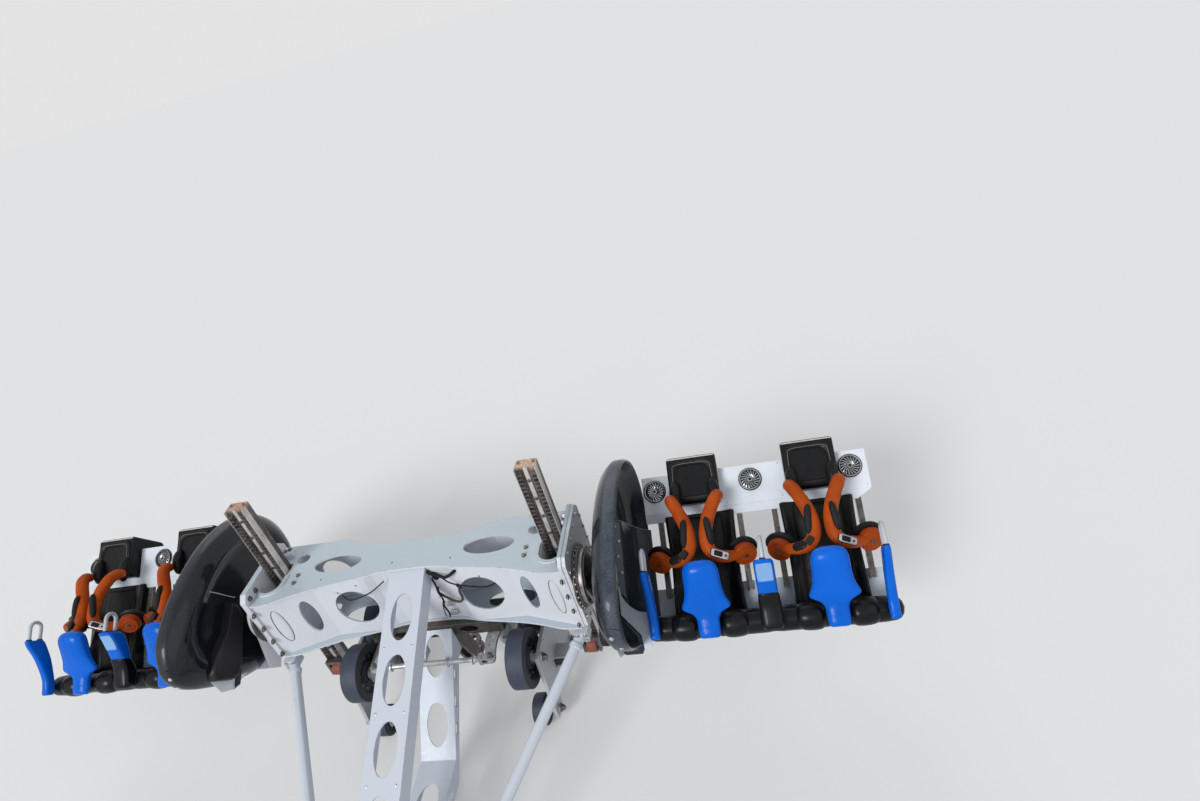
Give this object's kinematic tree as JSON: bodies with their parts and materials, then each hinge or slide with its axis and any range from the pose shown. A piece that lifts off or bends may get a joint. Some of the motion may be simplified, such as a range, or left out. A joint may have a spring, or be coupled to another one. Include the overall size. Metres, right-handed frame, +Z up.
{
  "type": "four-seat wing coaster car",
  "caption": "Roller coaster car with two seats on each side, carried by wings that turn about a cross axis through racks and pinions.",
  "frame": {"origin": "on the floor under the middle of the car's overall box", "axes": "+Z up, +X to the car's right along the wings, -Y the way the car travels"},
  "size_m": [6.1, 3.1575, 1.988],
  "materials": {
    "beam_paint": "satin, lightly chipped",
    "spine_paint": "satin, grease-marked",
    "dark_steel": "dull, oily",
    "bogie_steel": "satin, dirty",
    "bright_steel": "bare, oiled",
    "greased_steel": "greased, with rust at the ends",
    "wheel_tread": "hard grey-blue polyurethane tread",
    "roller_tread": "red-brown polyurethane tread",
    "wing_paint": "satin",
    "shield_plastic": "gloss, scuffed at the rim",
    "panel_plastic": "gloss",
    "chrome_trim": "polished",
    "seat_plastic": "gloss",
    "blue_plastic": "gloss",
    "harness_vinyl": "satin vinyl"
  },
  "bodies": {
    "chassis": {"cross_beam": "beam_paint", "beam_deck": "beam_paint", "beam_floor": "beam_paint", "end_plates": "beam_paint", "slewing_rings": "dark_steel", "rack_guides": "dark_steel", "upper_spine": "spine_paint", "lower_spine": "spine_paint", "struts": "spine_paint", "axle_frame": "dark_steel", "rear_coupler": "dark_steel", "tow_eye": "dark_steel"},
    "bogie_left": {"bogie_left": "bogie_steel"},
    "bogie_right": {"bogie_right": "bogie_steel"},
    "tie_rod": {"tie_rod": "bright_steel"},
    "road_wheel_fl": {"road_wheel_fl": "wheel_tread"},
    "upstop_wheel_fl": {"upstop_wheel_fl": "wheel_tread"},
    "road_wheel_fr": {"road_wheel_fr": "wheel_tread"},
    "upstop_wheel_fr": {"upstop_wheel_fr": "wheel_tread"},
    "road_wheel_rl": {"road_wheel_rl": "wheel_tread"},
    "upstop_wheel_rl": {"upstop_wheel_rl": "wheel_tread"},
    "road_wheel_rr": {"road_wheel_rr": "wheel_tread"},
    "upstop_wheel_rr": {"upstop_wheel_rr": "wheel_tread"},
    "side_wheel_left": {"side_wheel_left": "wheel_tread"},
    "side_wheel_right": {"side_wheel_right": "wheel_tread"},
    "wing_left": {"wing_arm_left": "beam_paint", "wing_beam_left": "wing_paint", "leg_shield_left": "shield_plastic", "back_panel_left": "panel_plastic", "speakers_left": "chrome_trim", "seat_shells_left": "seat_plastic", "headrests_left": "seat_plastic", "horns_left": "blue_plastic", "side_posts_left": "blue_plastic", "handles_left": "chrome_trim", "hip_brackets_left": "dark_steel"},
    "wing_right": {"wing_arm_right": "beam_paint", "wing_beam_right": "wing_paint", "leg_shield_right": "shield_plastic", "back_panel_right": "panel_plastic", "speakers_right": "chrome_trim", "seat_shells_right": "seat_plastic", "headrests_right": "seat_plastic", "horns_right": "blue_plastic", "side_posts_right": "blue_plastic", "handles_right": "chrome_trim", "hip_brackets_right": "dark_steel"},
    "rack_left": {"rack_left": "greased_steel"},
    "rack_roller_left": {"rack_roller_left": "roller_tread"},
    "rack_right": {"rack_right": "greased_steel"},
    "rack_roller_right": {"rack_roller_right": "roller_tread"},
    "harness_1a": {"harness_1a": "harness_vinyl"},
    "harness_1b": {"harness_1b": "harness_vinyl"},
    "harness_2a": {"harness_2a": "harness_vinyl"},
    "harness_2b": {"harness_2b": "harness_vinyl"},
    "harness_3a": {"harness_3a": "harness_vinyl"},
    "harness_3b": {"harness_3b": "harness_vinyl"},
    "harness_4a": {"harness_4a": "harness_vinyl"},
    "harness_4b": {"harness_4b": "harness_vinyl"}
  },
  "joints": [
    {"name": "steer_left", "type": "hinge", "parent": "chassis", "child": "bogie_left", "pos_m": [-0.43, 0.8723, 0.588], "axis": [0, 0, 1], "range_deg": [-8, 8]},
    {"name": "steer_right", "type": "hinge", "parent": "chassis", "child": "bogie_right", "pos_m": [0.43, 0.8723, 0.588], "axis": [0, 0, 1], "range_deg": [-8, 8]},
    {"name": "tie_rod_slide", "type": "slide", "parent": "chassis", "child": "tie_rod", "axis": [1, 0, 0], "range_m": [-0.0425, 0.0425]},
    {"name": "road_wheel_fl_spin", "type": "hinge", "parent": "bogie_left", "child": "road_wheel_fl", "pos_m": [-0.61, 0.6473, 0.588], "axis": [1, 0, 0], "continuous": true},
    {"name": "upstop_wheel_fl_spin", "type": "hinge", "parent": "bogie_left", "child": "upstop_wheel_fl", "pos_m": [-0.61, 0.5823, 0.11], "axis": [1, 0, 0], "continuous": true},
    {"name": "road_wheel_fr_spin", "type": "hinge", "parent": "bogie_right", "child": "road_wheel_fr", "pos_m": [0.61, 0.6473, 0.588], "axis": [1, 0, 0], "continuous": true},
    {"name": "upstop_wheel_fr_spin", "type": "hinge", "parent": "bogie_right", "child": "upstop_wheel_fr", "pos_m": [0.61, 0.5823, 0.11], "axis": [1, 0, 0], "continuous": true},
    {"name": "road_wheel_rl_spin", "type": "hinge", "parent": "bogie_left", "child": "road_wheel_rl", "pos_m": [-0.61, 1.0973, 0.588], "axis": [1, 0, 0], "continuous": true},
    {"name": "upstop_wheel_rl_spin", "type": "hinge", "parent": "bogie_left", "child": "upstop_wheel_rl", "pos_m": [-0.61, 1.1623, 0.11], "axis": [1, 0, 0], "continuous": true},
    {"name": "road_wheel_rr_spin", "type": "hinge", "parent": "bogie_right", "child": "road_wheel_rr", "pos_m": [0.61, 1.0973, 0.588], "axis": [1, 0, 0], "continuous": true},
    {"name": "upstop_wheel_rr_spin", "type": "hinge", "parent": "bogie_right", "child": "upstop_wheel_rr", "pos_m": [0.61, 1.1623, 0.11], "axis": [1, 0, 0], "continuous": true},
    {"name": "side_wheel_left_spin", "type": "hinge", "parent": "bogie_left", "child": "side_wheel_left", "pos_m": [-0.764, 0.8723, 0.304], "axis": [0, 0, 1], "continuous": true},
    {"name": "side_wheel_right_spin", "type": "hinge", "parent": "bogie_right", "child": "side_wheel_right", "pos_m": [0.764, 0.8723, 0.304], "axis": [0, 0, 1], "continuous": true},
    {"name": "wing_left_turn", "type": "hinge", "parent": "chassis", "child": "wing_left", "pos_m": [-1.014, 0.8123, 1.138], "axis": [1, 0, 0], "range_deg": [-180, 360]},
    {"name": "rack_left_slide", "type": "slide", "parent": "chassis", "child": "rack_left", "axis": [0, 0, 1], "range_m": [-0.283, 0.566]},
    {"name": "rack_roller_left_spin", "type": "hinge", "parent": "rack_left", "child": "rack_roller_left", "pos_m": [-1.014, 0.8948, 0.37], "axis": [1, 0, 0], "continuous": true},
    {"name": "wing_right_turn", "type": "hinge", "parent": "chassis", "child": "wing_right", "pos_m": [1.014, 0.8123, 1.138], "axis": [1, 0, 0], "range_deg": [-180, 360]},
    {"name": "rack_right_slide", "type": "slide", "parent": "chassis", "child": "rack_right", "axis": [0, 0, 1], "range_m": [-0.283, 0.566]},
    {"name": "rack_roller_right_spin", "type": "hinge", "parent": "rack_right", "child": "rack_roller_right", "pos_m": [1.014, 0.8948, 0.37], "axis": [1, 0, 0], "continuous": true},
    {"name": "harness_1a_swing", "type": "hinge", "parent": "wing_left", "child": "harness_1a", "pos_m": [-2.94, 0.8543, 1.128], "axis": [-0.2588, -0.9565, 0.1344], "range_deg": [0, 30]},
    {"name": "harness_1b_swing", "type": "hinge", "parent": "wing_left", "child": "harness_1b", "pos_m": [-2.408, 0.8543, 1.128], "axis": [-0.2588, 0.9565, -0.1344], "range_deg": [0, 30]},
    {"name": "harness_2a_swing", "type": "hinge", "parent": "wing_left", "child": "harness_2a", "pos_m": [-2.196, 0.8543, 1.128], "axis": [-0.2588, -0.9565, 0.1344], "range_deg": [0, 30]},
    {"name": "harness_2b_swing", "type": "hinge", "parent": "wing_left", "child": "harness_2b", "pos_m": [-1.664, 0.8543, 1.128], "axis": [-0.2588, 0.9565, -0.1344], "range_deg": [0, 30]},
    {"name": "harness_3a_swing", "type": "hinge", "parent": "wing_right", "child": "harness_3a", "pos_m": [1.664, 0.8543, 1.128], "axis": [-0.2588, -0.9565, 0.1344], "range_deg": [0, 30]},
    {"name": "harness_3b_swing", "type": "hinge", "parent": "wing_right", "child": "harness_3b", "pos_m": [2.196, 0.8543, 1.128], "axis": [-0.2588, 0.9565, -0.1344], "range_deg": [0, 30]},
    {"name": "harness_4a_swing", "type": "hinge", "parent": "wing_right", "child": "harness_4a", "pos_m": [2.408, 0.8543, 1.128], "axis": [-0.2588, -0.9565, 0.1344], "range_deg": [0, 30]},
    {"name": "harness_4b_swing", "type": "hinge", "parent": "wing_right", "child": "harness_4b", "pos_m": [2.94, 0.8543, 1.128], "axis": [-0.2588, 0.9565, -0.1344], "range_deg": [0, 30]}
  ],
  "couplings": [
    {"joint": "steer_right", "follows": "steer_left", "ratio": 1},
    {"joint": "tie_rod_slide", "follows": "steer_left", "m_per_rad": 0.295},
    {"joint": "rack_left_slide", "follows": "wing_left_turn", "m_per_rad": 0.09},
    {"joint": "rack_right_slide", "follows": "wing_right_turn", "m_per_rad": 0.09}
  ]
}
